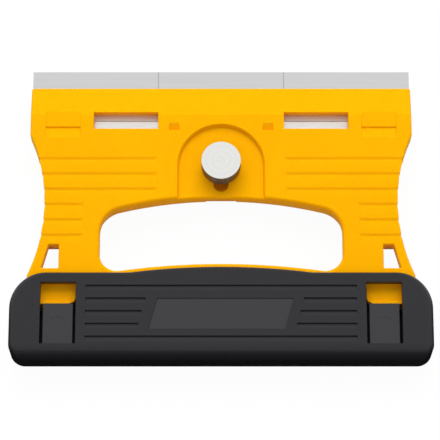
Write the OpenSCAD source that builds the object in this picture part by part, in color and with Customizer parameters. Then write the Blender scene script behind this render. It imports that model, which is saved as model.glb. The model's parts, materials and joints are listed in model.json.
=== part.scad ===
// Window scraper: a wide clamped blade in a two-shell plastic frame with a hand opening,
// and a safety cover that is stored on the feet of the frame.
// Lengths are in millimetres. The pieces are drawn with the jaw edge at y = 0, the blade's edge
// towards +y and the parting plane of the shells at z = 0; place() then moves them so that the
// origin is the middle of the underside of the scraper lying on its back.

/* [Blade] */
// Width of the blade along its edge
blade_w = 140; // [120:1:160]
// Depth of the blade from its edge to its back
blade_h = 19.4; // [18:0.1:24]
// Thickness of the blade
blade_t = 0.5; // [0.4:0.05:0.6]
// How far the edge stands out of the jaw
blade_out = 7.25; // [5:0.25:9]
// How far the blade draws back into the jaw
blade_travel = 7; // [4:0.5:8]
// Depth of the ground bevel at the edge
bevel_h = 1; // [0.5:0.1:2]
// Thickness left at the edge
edge_t = 0.1; // [0.05:0.05:0.2]

/* [Frame] */
// Frame standing past each end of the blade
blade_margin = 0.3; // [0.2:0.1:2]
// Thickness of the two shells together
frame_t = 9; // [8:0.5:12]
// Thickness of one shell at the jaw edge
lip_t = 1.8; // [1.6:0.1:2.4]
// Depth of the slope behind the jaw edge
slope_h = 11.3; // [8:0.1:13]
// Radius of the hollow in each side
waist_r = 66; // [60:1:72]
// How deep the hollow goes into the side
waist_in = 5.8; // [4:0.1:7]
// Middle of the hollow below the jaw edge
waist_y = 46; // [44:0.2:50]
// Width of a leg at the waist
leg_w = 20.3; // [18:0.1:22]
// Wall of the hollow legs
shell_wall = 2; // [1.6:0.1:2.2]

/* [Hand opening] */
// Crown of the opening below the jaw edge
grip_top = 43.1; // [42:0.1:46]
// Height of the opening in the middle
grip_h = 25.5; // [24:0.1:31]
// Radius of the upper edge
grip_top_r = 157; // [120:1:200]
// Radius of the lower edge
grip_low_r = 260; // [220:1:320]
// Corner radius at the top
grip_corner_top = 9.5; // [8:0.5:11]
// Corner radius at the bottom
grip_corner_low = 6.5; // [5:0.5:8]
// How much larger the rear shell's hand opening is all round than the front shell's
grip_relief = 0.9; // [0.5:0.1:1.2]

/* [Windows and marks] */
// Width of a blade window
window_w = 23.8; // [16:0.2:24]
// Height of a blade window
window_h = 6.4; // [5:0.2:8]
// Upper edge of the windows below the jaw edge
window_y = 10.35; // [9:0.05:11]
// Side of the frame to the middle of a window
window_in = 35.2; // [34:0.2:37]
// How far the upper wall of a window leans back towards the jaw edge
window_lean = 0.5; // [0.1:0.1:0.8]
// Width of a catch for the cover
catch_w = 12.8; // [8:0.2:14]
// Step of the catch below the jaw edge
catch_y = 15.7; // [14:0.1:18]
// Length of the slope behind the catch
catch_run = 4.7; // [3:0.1:5]
// Depth of the catch
catch_d = 0.9; // [0.6:0.1:1]
// How far the step of the catch leans
catch_lean = 0.5; // [0.2:0.1:0.8]
// How far the flat before the step lies below the face
catch_sink = 0.3; // [0.1:0.1:0.5]
// Side of the frame to the middle of a catch
catch_in = 12.1; // [11:0.1:14]
// Width of a dimple
dimple_w = 3.8; // [2:0.2:5]
// Height of a dimple
dimple_h = 2.8; // [2:0.1:4]
// Depth of a dimple at its lower edge
dimple_d = 1.4; // [0.4:0.1:1.6]
// Middle of a dimple to the middle of the frame
dimple_x = 17.3; // [16:0.1:18]
// Upper edge of the dimples below the jaw edge
dimple_y = 14.5; // [13:0.1:15]

/* [Grip ribs] */
// Number of ribs on a leg
rib_count = 6; // [4:1:6]
// Number of them that reach in to the knob
rib_long = 3; // [1:1:3]
// First rib below the jaw edge
rib_y = 27.8; // [27:0.1:30]
// Distance from rib to rib
rib_pitch = 5.9; // [5:0.1:6]
// Depth of a rib's step
rib_d = 0.4; // [0.3:0.1:0.7]
// How far a rib's step leans
rib_lean = 1; // [0.4:0.1:1.4]
// Depth of a rib's step round the side of the frame
rib_side_d = 0.3; // [0.2:0.1:0.6]
// Length of the slope below a step
rib_run = 3.5; // [3:0.1:4.2]
// Length over which a rib runs out at its inner end
rib_end = 1.5; // [0.5:0.1:2]
// Knob recess to the end of a long rib
rib_gap = 7; // [5:0.1:9]
// Hand opening to the end of a short rib
rib_short_gap = 5.6; // [3:0.1:6]

/* [Leg holes] */
// Upper edge of the hole below the jaw edge
hole_y = 61.5; // [61:0.1:62]
// Height of the hole
hole_h = 8.9; // [6:0.1:9.2]
// Width at the upper edge
hole_w_top = 3.8; // [3:0.1:4.5]
// Width at the lower edge
hole_w_low = 6.3; // [4.6:0.1:6.6]
// Side of the frame to the inner edge of the hole
hole_in = 11.4; // [10.8:0.1:12]
// How much wider the hole is in the rear shell
hole_relief = 0.9; // [0.5:0.1:1.2]

/* [Knob and clamp] */
// Knob axis below the jaw edge
knob_y = 31.1; // [30.6:0.1:32]
// Diameter of the knob
knob_d = 14.4; // [12:0.2:16]
// Height of the knob
knob_h = 6.5; // [5.5:0.1:8]
// Chamfer of the knob's upper edge
knob_chamfer = 0.4; // [0.3:0.1:1]
// Radius of the recess around the knob
recess_r = 16.1; // [14:0.1:16.5]
// Depth of the recess
recess_d = 1.8; // [1:0.1:2]
// Slope of the recess wall, seen from the front
recess_run = 0.7; // [0.3:0.1:1]
// Thread diameter of the stud
thread_d = 5; // [4.8:0.1:5.2]
// Thread pitch
thread_pitch = 0.8; // [0.5:0.1:0.8]
// Turns that free the blade
clamp_turns = 1; // [0.5:0.25:1]
// Side play of the stud in the slot
slot_play = 0.2; // [0.15:0.05:0.3]
// Radial play of the thread in the nut
thread_play = 0.05; // [0.03:0.01:0.08]
// Outer diameter of the washer
washer_d = 10; // [8:0.5:11]
// Thickness of the washer
washer_t = 1; // [0.6:0.1:1.2]
// Width of the square nut
nut_w = 8; // [7:0.2:8.4]
// Thickness of the nut
nut_t = 2.7; // [2.2:0.1:2.8]
// Outer diameter of the retaining ring
ring_d = 7.2; // [6:0.2:7.6]
// Thickness of the retaining ring
ring_t = 0.6; // [0.5:0.1:0.7]
// Depth of the ring's groove in the stud
ring_groove = 0.9; // [0.6:0.1:1]
// Open side of the ring as a share of its bore
ring_mouth = 0.8; // [0.7:0.05:0.9]
// How far the end of the nut's housing leans back from the hand opening
housing_lean = 2.2; // [2:0.1:3]

/* [Blade carrier] */
// Width of the carrier plate
carrier_w = 124; // [110:1:126]
// Thickness of the carrier plate under the blade
carrier_t = 1; // [0.8:0.1:1.2]
// Front edge of the plate below the jaw edge
carrier_y = 5; // [4:0.2:6]
// Depth of the wide part of the plate
carrier_h = 17; // [15:0.2:18]
// Width of the tail that holds the nut
tail_w = 10.4; // [9.6:0.2:11]
// Length of the tail past the knob axis
tail_past = 4; // [3.6:0.1:4.2]

/* [Shell screws] */
// Shank diameter
screw_d = 2.9; // [2.5:0.1:3.2]
// Head diameter
screw_head_d = 5.6; // [5:0.1:6]
// Head height
screw_head_h = 1.9; // [1.5:0.1:2]
// Depth of the shank in the front shell
screw_grip = 2.4; // [2:0.1:2.4]
// Width of the cross recess
screw_cross = 0.8; // [0.6:0.1:1]
// Length of the cross recess
screw_cross_l = 3.7; // [3:0.1:4.2]
// Depth of the cross recess
screw_cross_d = 0.95; // [0.7:0.05:1.1]
// Wall of the screw posts
post_wall = 1.6; // [1.4:0.1:2]
// Upper screws below the jaw edge
screw_high_y = 37.5; // [37:0.1:39]
// Side of the frame to the upper screws
screw_high_in = 16.4; // [15:0.1:17]
// Lower screws below the jaw edge
screw_low_y = 64.5; // [63.5:0.1:66]
// Side of the frame to the lower screws
screw_low_in = 18.6; // [18:0.1:20]

/* [Safety cover] */
// Thickness of the cover
cover_t = 15; // [14.6:0.2:18]
// Depth of the cover at its ends
cover_h = 31.7; // [31:0.1:36]
// Cover standing past each side of the frame
cover_side = 6; // [5.6:0.1:8]
// Rise of the mouth in the middle
mouth_rise = 2.1; // [1:0.1:3]
// Strip of the frame left between the hand opening and the mouth
bar_show = 2; // [1:0.1:3]
// Corner radius at the mouth
cover_corner_top = 13; // [8:0.1:14]
// Corner radius at the bottom
cover_corner_low = 5.5; // [4:0.1:8]
// Thickness of the cover's floor
cover_floor = 2.2; // [1.8:0.1:3]
// Play between the cover and the frame
cover_play = 0.3; // [0.2:0.05:0.4]
// Depth of the frame's feet in the cover
foot_h = 11.3; // [10.5:0.1:14]
// Width of a foot
foot_w = 17.8; // [16:0.2:20]
// Corner radius of a foot
foot_r = 3; // [1:0.1:4]
// Depth of the hollow in a foot behind the cover's window
foot_sink = 1.3; // [0.8:0.1:1.6]
// Rim left at the end of a foot
foot_rim = 1; // [0.8:0.1:1.4]
// Depth of the bar between the feet
bar_in = 5.4; // [4:0.1:7]

/* [Cover windows and grooves] */
// Width of a cover window
port_w = 12.8; // [11:0.2:13]
// Mouth to the upper edge of a window
port_y = 3.9; // [3.5:0.1:4.2]
// Height of a window
port_h = 22.8; // [20:0.1:23]
// Side of the frame to the middle of a window
port_in = 11.7; // [11:0.1:12.5]
// Slit on each side of a tongue
tongue_slit = 1; // [0.6:0.1:1.4]
// Tongue below the face of the cover
tongue_sink = 1.1; // [0.8:0.1:1.4]
// Thickness of a tongue
tongue_t = 2.4; // [2:0.1:2.6]
// Feet to the free end of a tongue
tongue_gap = 0.3; // [0.2:0.05:0.6]
// Diameter of the round mark in a tongue
mark_d = 5.4; // [3:0.2:6]
// Depth of the mark
mark_sink = 0.1; // [0.1:0.1:0.4]
// Number of grooves
groove_count = 5; // [4:1:5]
// Mouth to the first groove
groove_y = 5; // [4.6:0.1:6]
// Distance from groove to groove
groove_pitch = 4.73; // [4.2:0.01:4.8]
// Depth of a groove
groove_d = 0.6; // [0.4:0.1:1]
// How far a groove's step leans
groove_lean = 0.1; // [0.1:0.1:0.4]
// Length of the slope below a groove's step
groove_run = 2; // [1:0.1:2.4]
// Window to the end of a groove
groove_gap = 3.5; // [2.5:0.1:5]
// Half width that the middle grooves leave free
groove_clear = 28.5; // [28:0.1:32]
// Sideways step of the middle grooves' inner ends from groove to groove
groove_slant = 1.3; // [0:0.1:2]
// Half width of the panel
panel_w = 24.5; // [20:0.5:25]
// Height of the panel
panel_h = 11.3; // [8:0.1:12]
// Mouth to the upper edge of the panel
panel_y = 10; // [9.5:0.1:11]
// Depth of the panel
panel_d = 0.4; // [0.2:0.1:0.6]

/* [Clearances] */
// Play of the sliding blade and carrier in thickness
slide_play = 0.05; // [0.03:0.01:0.08]
// Play of the sliding blade and carrier in width and at the ends
end_play = 0.3; // [0.2:0.05:0.4]
// Play between the carrier's shoulder and the back of the blade
back_play = 0.2; // [0.15:0.05:0.3]
// Play of screws and ring in their seats
seat_play = 0.05; // [0.03:0.01:0.08]

/* [Hidden] */
$fn = 64;
over = 1;
past = 0.3;

// Frame
frame_half = blade_w / 2 + blade_margin;
shell_t = frame_t / 2;
waist_x = frame_half - waist_in + waist_r;
grip_half = frame_half - waist_in - leg_w;
grip_low = grip_top + grip_h;
mouth_mid_y = grip_low + bar_show;
mouth_y = mouth_mid_y + mouth_rise;
foot_y = mouth_y + foot_h;
foot_x = frame_half - foot_w;
bar_y = mouth_y + bar_in;
leg_hole_x = frame_half - hole_in;
screw_places = [
    for (side = [-1, 1])
        each [
            [side * (frame_half - screw_high_in), -screw_high_y],
            [side * (frame_half - screw_low_in), -screw_low_y]
        ]
];

// Levels through the thickness, from the knob down
recess_z = shell_t - recess_d;
washer_z = recess_z + slide_play;
knob_z = washer_z + washer_t;
blade_z = -slide_play - blade_t;
plate_z = blade_z - slide_play - carrier_t;
shoulder_z = -2 * slide_play;
pocket_z = plate_z - slide_play;
nut_z = plate_z - nut_t;
clamp_lift = thread_pitch * clamp_turns;
ring_z = nut_z - slide_play - clamp_lift - ring_t;
stud_r = thread_d / 2;
stud_z = ring_z - ring_t;
stud_top = knob_z + knob_h - knob_chamfer - over;
tunnel_z = stud_z - 2 * seat_play;
base_z = cover_t / 2;

// Carrier, its pocket and its tunnel
back_y = blade_h - blade_out;
shoulder_y = back_y + back_play;
plate_end_y = carrier_y + carrier_h;
pocket_y = plate_end_y + blade_travel + end_play;
tail_y = knob_y + tail_past;
tunnel_w = tail_w + 2 * end_play;
tunnel_y = knob_y - nut_w / 2 - end_play;
blister_w = tunnel_w + 2 * shell_wall;
blister_y = tunnel_y - shell_wall;
blister_run = base_z - shell_t;
leg_pocket_y = pocket_y + shell_wall;
leg_pocket_t = shell_t - shell_wall;

// Screws
screw_r = screw_d / 2;
screw_seat_z = screw_head_h + 2 * seat_play - shell_t;
post_r = screw_head_d / 2 + post_wall;

// Cover
cover_half = frame_half + cover_side;
cover_y = mouth_y + cover_h;
cover_room = shell_t + cover_play;
cover_wall = base_z - cover_room;
port_x = frame_half - port_in;
tongue_y = foot_y + tongue_gap;
groove_end = port_x - port_w / 2 - groove_gap;

y_shift = (cover_y - blade_out) / 2;

// Moves a piece from the drawing frame to the scraper's own frame
module place() {
    translate([0, y_shift, base_z]) children();
}

// Copies what is drawn on the right to the left as well
module both_sides() {
    children();
    mirror([1, 0, 0]) children();
}

// Extrudes a y-z outline along x, from x1 to x2
module along_x(x1, x2) {
    translate([x1, 0, 0]) rotate([90, 0, 90]) linear_extrude(x2 - x1) children();
}

// What a fillet of radius r about point c takes off a corner between directions d1 and d2
module corner_off(c, r, d1, d2) {
    reach = 3 * r;
    difference() {
        polygon([c, c + reach * d1, c + reach * (d1 + d2), c + reach * d2]);
        translate(c) circle(r);
    }
}

// Half width of the frame at distance y below the jaw edge
function side_at(y) =
    abs(y - waist_y) < waist_r
        ? min(frame_half, waist_x - sqrt(pow(waist_r, 2) - pow(y - waist_y, 2)))
        : frame_half;

// Saw-tooth cut in an outer face at height z: a leaning step that faces -y, and a slope back to the face
module saw_tooth(y, depth, lean, run, z) {
    polygon([
        [-y - lean, z - depth],
        [-y - lean - (run - lean) * (1 + past), z + depth * past],
        [-y + lean * past, z + depth * past]
    ]);
}

// Hand opening, grown all round by g
module grip_plan(g = 0) {
    top = [0, -grip_top - grip_top_r];
    low = [0, -grip_low - grip_low_r];
    top_x = grip_half - grip_corner_top;
    low_x = grip_half - grip_corner_low;
    top_c = [top_x, top[1] + sqrt(pow(grip_top_r - grip_corner_top, 2) - pow(top_x, 2))];
    low_c = [low_x, low[1] + sqrt(pow(grip_low_r + grip_corner_low, 2) - pow(low_x, 2))];
    difference() {
        intersection() {
            translate(top) circle(grip_top_r + g);
            translate([-grip_half - g, -grip_low - grip_h])
                square([2 * (grip_half + g), 2 * grip_h + g]);
        }
        translate(low) circle(grip_low_r - g);
        both_sides() {
            corner_off(top_c, grip_corner_top + g, [1, 0], (top_c - top) / norm(top_c - top));
            corner_off(low_c, grip_corner_low + g, [1, 0], (low - low_c) / norm(low - low_c));
        }
    }
}

// Outline of the frame, drawn in all round by g
module frame_plan(g = 0) {
    foot_c = [foot_x + foot_r, -foot_y + foot_r];
    difference() {
        translate([-frame_half + g, -foot_y + g])
            square([2 * (frame_half - g), foot_y - 2 * g]);
        translate([-foot_x - g, -foot_y - over])
            square([2 * (foot_x + g), foot_y - bar_y + over + g]);
        both_sides() {
            translate([waist_x, -waist_y]) circle(waist_r + g);
            corner_off(foot_c, foot_r - g, [-1, 0], [0, -1]);
        }
        grip_plan(g);
    }
}

// Leg hole on the right, grown all round by g
module hole_plan(g = 0) {
    polygon([
        [leg_hole_x - g, -hole_y + g],
        [leg_hole_x + hole_w_top + g, -hole_y + g],
        [leg_hole_x + hole_w_low + g, -hole_y - hole_h - g],
        [leg_hole_x - g, -hole_y - hole_h - g]
    ]);
}

// Hollow of the right leg, inside its walls and around the screw posts
module leg_pocket_plan() {
    difference() {
        intersection() {
            frame_plan(shell_wall);
            translate([recess_r + rib_gap, -hole_y - hole_h])
                square([frame_half, hole_y + hole_h - leg_pocket_y]);
        }
        for (p = screw_places) translate(p) circle(post_r);
        hole_plan(hole_relief + shell_wall);
    }
}

// Outer half of the frame that both shells share: jaw slope, ribs on face and sides, leg hollows
module shell_half() {
    difference() {
        linear_extrude(shell_t) frame_plan();
        along_x(-frame_half - over, frame_half + over)
            polygon([
                [-slope_h, shell_t],
                [0, lip_t],
                [over, lip_t],
                [over, shell_t + over],
                [-slope_h, shell_t + over]
            ]);
        both_sides() {
            for (i = [0 : rib_count - 1]) rib_cut(i);
            translate([0, 0, -over]) linear_extrude(leg_pocket_t + over) leg_pocket_plan();
        }
    }
}

// Rib number i on the right: a saw-tooth on the face that runs out inwards, and one round the side
module rib_cut(i) {
    y = rib_y + i * rib_pitch;
    inner = i < rib_long ? recess_r + rib_gap : grip_half + rib_short_gap;
    outer = frame_half + over;
    step = [side_at(y) - rib_side_d, -y];
    slope = [side_at(y + rib_run), -y - rib_run] - step;
    slope_end = step + (1 + past) * slope;
    intersection() {
        along_x(inner - rib_end, outer) saw_tooth(y, rib_d, rib_lean, rib_run, shell_t);
        translate([0, -y + over, shell_t])
            rotate([90, 0, 0])
                linear_extrude(rib_run + 3 * over)
                    polygon([
                        [inner - rib_end, rib_d],
                        [inner + rib_end, -rib_d],
                        [outer, -rib_d],
                        [outer, rib_d]
                    ]);
    }
    translate([0, 0, -over])
        linear_extrude(shell_t + 2 * over)
            polygon([step, slope_end, [outer, slope_end[1]], [outer, -y]]);
}

// Round-ended slot that the stud slides in
module stud_slot() {
    r = stud_r + slot_play;
    for (y = [knob_y, knob_y + blade_travel]) translate([0, -y]) circle(r);
    translate([-r, -knob_y - blade_travel]) square([2 * r, blade_travel]);
}

// Recess around the knob: an arch with sloping walls, open to the hand opening
module knob_recess() {
    high = recess_d + over;
    top_r = recess_r + recess_run * over / recess_d;
    floor_r = recess_r - recess_run;
    translate([0, -knob_y, recess_z]) {
        intersection() {
            cylinder(h = high, r1 = floor_r, r2 = top_r);
            translate([-2 * recess_r, 0, -over]) cube([4 * recess_r, 2 * recess_r, high + 2 * over]);
        }
        rotate([90, 0, 0])
            linear_extrude(grip_low - knob_y)
                polygon([[-floor_r, 0], [floor_r, 0], [top_r, high], [-top_r, high]]);
    }
}

module front_shell() {
    window_x = frame_half - window_in;
    catch_x = frame_half - catch_in;
    color("gold") place() difference() {
        shell_half();
        knob_recess();
        translate([0, 0, -over]) linear_extrude(shell_t + 2 * over) {
            stud_slot();
            both_sides() hole_plan();
        }
        both_sides() {
            along_x(catch_x - catch_w / 2, catch_x + catch_w / 2) {
                saw_tooth(catch_y, catch_d, catch_lean, catch_run, shell_t);
                translate([-catch_y - catch_lean, shell_t - catch_sink])
                    square([catch_y + catch_lean, catch_sink + over]);
            }
            along_x(dimple_x - dimple_w / 2, dimple_x + dimple_w / 2)
                polygon([
                    [-dimple_y, shell_t],
                    [-dimple_y - dimple_h, shell_t - dimple_d],
                    [-dimple_y - dimple_h, shell_t + over],
                    [-dimple_y, shell_t + over]
                ]);
            along_x(window_x - window_w / 2, window_x + window_w / 2)
                polygon([
                    [-window_y - window_h, -over],
                    [-window_y + window_lean * (shell_t + over) / shell_t, -over],
                    [-window_y - window_lean * over / shell_t, shell_t + over],
                    [-window_y - window_h, shell_t + over]
                ]);
            translate([port_x - port_w / 2 - over, -foot_y + foot_rim, shell_t - foot_sink])
                cube([port_w + 2 * over, foot_y - foot_rim - mouth_y - port_y + over, foot_sink + over]);
        }
        for (p = screw_places)
            translate([p[0], p[1], -over]) cylinder(h = screw_grip + over, r = screw_r + seat_play);
    }
}

// Raised housing on the back for the nut's tunnel, level with the back of the cover
module blister() {
    along_x(-blister_w / 2, blister_w / 2)
        polygon([
            [-blister_y, -lip_t],
            [-blister_y, -shell_t],
            [-blister_y - blister_run, -base_z],
            [-grip_top + housing_lean, -base_z],
            [-grip_top + grip_relief, -shell_t],
            [-grip_top + grip_relief, -lip_t]
        ]);
}

module rear_shell() {
    pocket_w = carrier_w + 2 * end_play;
    color("gold") place() difference() {
        union() {
            mirror([0, 0, 1]) shell_half();
            blister();
        }
        translate([-frame_half - over, -back_y - blade_travel - end_play, blade_z - slide_play])
            cube([2 * (frame_half + over), back_y + blade_travel + end_play + over, over - blade_z]);
        translate([-pocket_w / 2, -pocket_y, pocket_z])
            cube([pocket_w, pocket_y - carrier_y + end_play, over - pocket_z]);
        translate([-tunnel_w / 2, -grip_low, tunnel_z])
            cube([tunnel_w, grip_low - tunnel_y, over - tunnel_z]);
        translate([0, 0, -shell_t - over]) linear_extrude(frame_t) {
            both_sides() hole_plan(hole_relief);
            grip_plan(grip_relief);
        }
        for (p = screw_places)
            translate([p[0], p[1], -shell_t - over]) {
                cylinder(h = frame_t, r = screw_r + seat_play);
                cylinder(h = screw_seat_z + shell_t + over, r = screw_head_d / 2 + end_play);
            }
    }
}

// One self-tapping screw with its head to the back
module shell_screw() {
    head_z = screw_seat_z - screw_head_h;
    difference() {
        union() {
            translate([0, 0, head_z]) cylinder(h = screw_head_h, r = screw_head_d / 2);
            cylinder(h = screw_grip - screw_r, r = screw_r);
            translate([0, 0, screw_seat_z - seat_play]) cylinder(h = seat_play - screw_seat_z, r = screw_r);
            translate([0, 0, screw_grip - screw_r])
                cylinder(h = screw_r - seat_play, r1 = screw_r, r2 = screw_r / 2);
        }
        for (turn = [0, 90])
            rotate([0, 0, turn])
                translate([-screw_cross_l / 2, -screw_cross / 2, head_z - over])
                    cube([screw_cross_l, screw_cross, screw_cross_d + over]);
    }
}

module shell_screws() {
    color("silver") place()
        for (p = screw_places) translate(p) shell_screw();
}

module blade() {
    color("lightgray") place()
        along_x(-blade_w / 2, blade_w / 2)
            polygon([
                [-back_y, blade_z],
                [blade_out - bevel_h, blade_z],
                [blade_out, -slide_play - edge_t],
                [blade_out, -slide_play],
                [-back_y, -slide_play]
            ]);
}

module blade_carrier() {
    color("silver") place() difference() {
        union() {
            translate([-carrier_w / 2, -plate_end_y, plate_z]) cube([carrier_w, carrier_h, carrier_t]);
            translate([-carrier_w / 2, -plate_end_y, plate_z])
                cube([carrier_w, plate_end_y - shoulder_y, shoulder_z - plate_z]);
            translate([-tail_w / 2, -tail_y, plate_z])
                cube([tail_w, tail_y - shoulder_y, shoulder_z - plate_z]);
        }
        translate([0, -knob_y, plate_z - over])
            cylinder(h = shoulder_z - plate_z + 2 * over, r = stud_r + slot_play);
    }
}

module clamp_nut() {
    color("gainsboro") place() translate([0, -knob_y, nut_z]) difference() {
        translate([-nut_w / 2, -nut_w / 2, 0]) cube([nut_w, nut_w, nut_t]);
        translate([0, 0, -over]) cylinder(h = nut_t + 2 * over, r = stud_r + thread_play);
    }
}

module knob() {
    color("whitesmoke") place() translate([0, -knob_y, knob_z]) difference() {
        union() {
            cylinder(h = knob_h - knob_chamfer, r = knob_d / 2);
            translate([0, 0, knob_h - knob_chamfer])
                cylinder(h = knob_chamfer, r1 = knob_d / 2, r2 = knob_d / 2 - knob_chamfer);
        }
        translate([0, 0, -over]) cylinder(h = stud_top - knob_z + over, r = stud_r);
    }
}

module clamp_stud() {
    color("silver") place() translate([0, -knob_y, 0]) difference() {
        translate([0, 0, stud_z]) cylinder(h = stud_top - stud_z, r = stud_r);
        translate([0, 0, ring_z - seat_play]) difference() {
            cylinder(h = ring_t + 2 * seat_play, r = thread_d);
            cylinder(h = ring_t + 2 * seat_play, r = stud_r - ring_groove);
        }
    }
}

module knob_washer() {
    color("lightgray") place() translate([0, -knob_y, washer_z]) difference() {
        cylinder(h = washer_t, r = washer_d / 2);
        translate([0, 0, -over]) cylinder(h = washer_t + 2 * over, r = stud_r + slot_play);
    }
}

module stud_ring() {
    ring_bore = stud_r - ring_groove + seat_play;
    color("dimgray") place() translate([0, -knob_y, ring_z]) linear_extrude(ring_t) difference() {
        circle(ring_d / 2);
        circle(ring_bore);
        translate([-ring_bore * ring_mouth, -ring_d]) square([2 * ring_bore * ring_mouth, ring_d]);
    }
}

// Outline of the cover
module cover_plan() {
    top_c = [cover_half - cover_corner_top, -mouth_y - cover_corner_top];
    low_c = [cover_half - cover_corner_low, -cover_y + cover_corner_low];
    difference() {
        translate([-cover_half, -cover_y]) square([2 * cover_half, cover_h]);
        both_sides() {
            corner_off(top_c, cover_corner_top, [1, 0], [0, 1]);
            corner_off(low_c, cover_corner_low, [1, 0], [0, -1]);
        }
    }
    intersection() {
        translate([0, -mouth_mid_y - grip_low_r]) circle(grip_low_r);
        translate([-frame_half, -mouth_y - over]) square([2 * frame_half, mouth_rise + 2 * over]);
    }
}

// Tongue in the right window: the feet stop against its free end
module tongue() {
    port_end_y = mouth_y + port_y + port_h;
    tongue_w = port_w - 2 * tongue_slit;
    tongue_h = port_end_y - tongue_y;
    translate([port_x, -port_end_y, base_z - tongue_sink])
        difference() {
            translate([-tongue_w / 2, -over, -tongue_t]) cube([tongue_w, tongue_h + over, tongue_t]);
            translate([0, tongue_h / 2, -mark_sink]) cylinder(h = mark_sink + over, d = mark_d);
        }
}

// Groove number i on the face and back of the cover; the middle ones leave the panel free
module groove(i) {
    y = mouth_y + groove_y + i * groove_pitch;
    shift = groove_slant * ((groove_count - 1) / 2 - i);
    if (i == 0 || i == groove_count - 1) {
        along_x(-groove_end, groove_end) saw_tooth(y, groove_d, groove_lean, groove_run, base_z);
    } else {
        along_x(-groove_end, shift - groove_clear) saw_tooth(y, groove_d, groove_lean, groove_run, base_z);
        along_x(shift + groove_clear, groove_end) saw_tooth(y, groove_d, groove_lean, groove_run, base_z);
    }
    mirror([0, 0, 1]) along_x(-groove_end, groove_end) saw_tooth(y, groove_d, groove_lean, groove_run, base_z);
}

module cover() {
    room_half = frame_half + cover_play;
    lean = panel_h / 2 * groove_slant / groove_pitch;
    color("dimgray") place() {
        difference() {
            translate([0, 0, -base_z]) linear_extrude(cover_t) cover_plan();
            translate([-room_half, -cover_y + cover_floor, -cover_room])
                cube([2 * room_half, cover_h, 2 * cover_room]);
            both_sides() {
                translate([port_x - port_w / 2, -mouth_y - port_y - port_h, 0])
                    cube([port_w, port_h, base_z + over]);
            }
            for (i = [0 : groove_count - 1]) groove(i);
            translate([0, -mouth_y - panel_y - panel_h / 2, base_z - panel_d])
                linear_extrude(panel_d + over)
                    polygon([
                        [-panel_w + lean, panel_h / 2],
                        [panel_w + lean, panel_h / 2],
                        [panel_w - lean, -panel_h / 2],
                        [-panel_w - lean, -panel_h / 2]
                    ]);
        }
        both_sides() tongue();
    }
}

front_shell();
rear_shell();
shell_screws();
blade();
blade_carrier();
clamp_nut();
knob();
clamp_stud();
knob_washer();
stud_ring();
cover();
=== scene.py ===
import json
import math

import bmesh
import bpy
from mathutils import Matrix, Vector


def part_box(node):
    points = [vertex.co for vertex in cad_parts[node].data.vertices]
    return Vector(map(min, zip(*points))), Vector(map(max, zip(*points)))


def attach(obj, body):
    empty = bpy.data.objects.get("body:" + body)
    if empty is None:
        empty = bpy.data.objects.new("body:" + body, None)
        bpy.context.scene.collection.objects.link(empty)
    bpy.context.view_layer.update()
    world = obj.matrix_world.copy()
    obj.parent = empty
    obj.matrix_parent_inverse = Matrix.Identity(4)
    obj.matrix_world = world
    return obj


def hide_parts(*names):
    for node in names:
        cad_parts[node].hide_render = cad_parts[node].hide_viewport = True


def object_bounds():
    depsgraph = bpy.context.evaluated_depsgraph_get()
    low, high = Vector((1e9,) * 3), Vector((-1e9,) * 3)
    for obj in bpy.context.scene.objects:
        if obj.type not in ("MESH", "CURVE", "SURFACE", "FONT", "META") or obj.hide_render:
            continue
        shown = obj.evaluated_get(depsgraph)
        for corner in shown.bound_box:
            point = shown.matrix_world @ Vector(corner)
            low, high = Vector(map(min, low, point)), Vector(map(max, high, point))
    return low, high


bl_info = {
    "name": "Window scraper",
    "version": (1, 0, 0),
    "blender": (4, 5, 0),
    "location": "View3D > Sidebar > Scraper",
    "description": "Finishes the pieces of a window scraper and sets up its photo stage",
    "category": "Object",
}

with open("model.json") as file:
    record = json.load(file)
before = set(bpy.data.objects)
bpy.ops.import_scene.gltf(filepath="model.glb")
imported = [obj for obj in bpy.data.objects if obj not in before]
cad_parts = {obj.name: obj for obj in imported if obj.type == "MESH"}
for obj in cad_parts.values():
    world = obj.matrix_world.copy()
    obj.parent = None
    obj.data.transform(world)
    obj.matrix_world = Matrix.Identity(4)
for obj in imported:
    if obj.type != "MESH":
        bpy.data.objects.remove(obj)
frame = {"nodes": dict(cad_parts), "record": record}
cad_low, cad_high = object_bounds()

MM = 0.001

# Places closer than this are the same place
TOUCH = 0.01 * MM
# A face looks along an axis if its normal has more than this along it, and stands along it if less
LOOKS = 0.9
STANDS = 0.2
# Corners closer than these are merged in a CAD mesh, and again after it was cut
MERGE = 0.002 * MM
CUT_MERGE = 0.004 * MM
# Faces that differ by less than this are one flat, and edges below the next are shaded smooth
FLAT_ANGLE = math.radians(0.3)
SMOOTH_ANGLE = math.radians(12.5)
# Only edges between these angles are broken; flatter ones belong to a curve
SHARP_FROM = math.radians(35)
SHARP_TO = math.radians(140)
ROUND_SEGMENTS = 8
BREAK_SEGMENTS = 2

# Places that the finish needs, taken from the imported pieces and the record
shell_low, shell_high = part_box("front_shell")
screws_low, screws_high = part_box("shell_screws")
cover_low, cover_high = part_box("cover")
blade_low, blade_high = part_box("blade")
knob_low, knob_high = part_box("knob")
stud_low, stud_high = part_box("clamp_stud")
knob_middle = (knob_low + knob_high) / 2
cover_middle = (cover_low + cover_high) / 2
openings = {o["name"]: [Vector(c) for c in o["box_m"]] for o in frame["record"]["physics"]["openings"]}


# Modelling helpers

def pick(piece):
    """Makes one piece the only selected object and the active one."""
    bpy.ops.object.select_all(action="DESELECT")
    bpy.context.view_layer.objects.active = piece
    piece.select_set(True)


def edit(piece):
    """Opens one piece in edit mode with nothing selected."""
    pick(piece)
    bpy.ops.object.mode_set(mode="EDIT")
    bpy.ops.mesh.select_mode(type="EDGE")
    bpy.ops.mesh.select_all(action="DESELECT")


def leave_edit():
    """Goes back to object mode."""
    bpy.ops.object.mode_set(mode="OBJECT")


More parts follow.
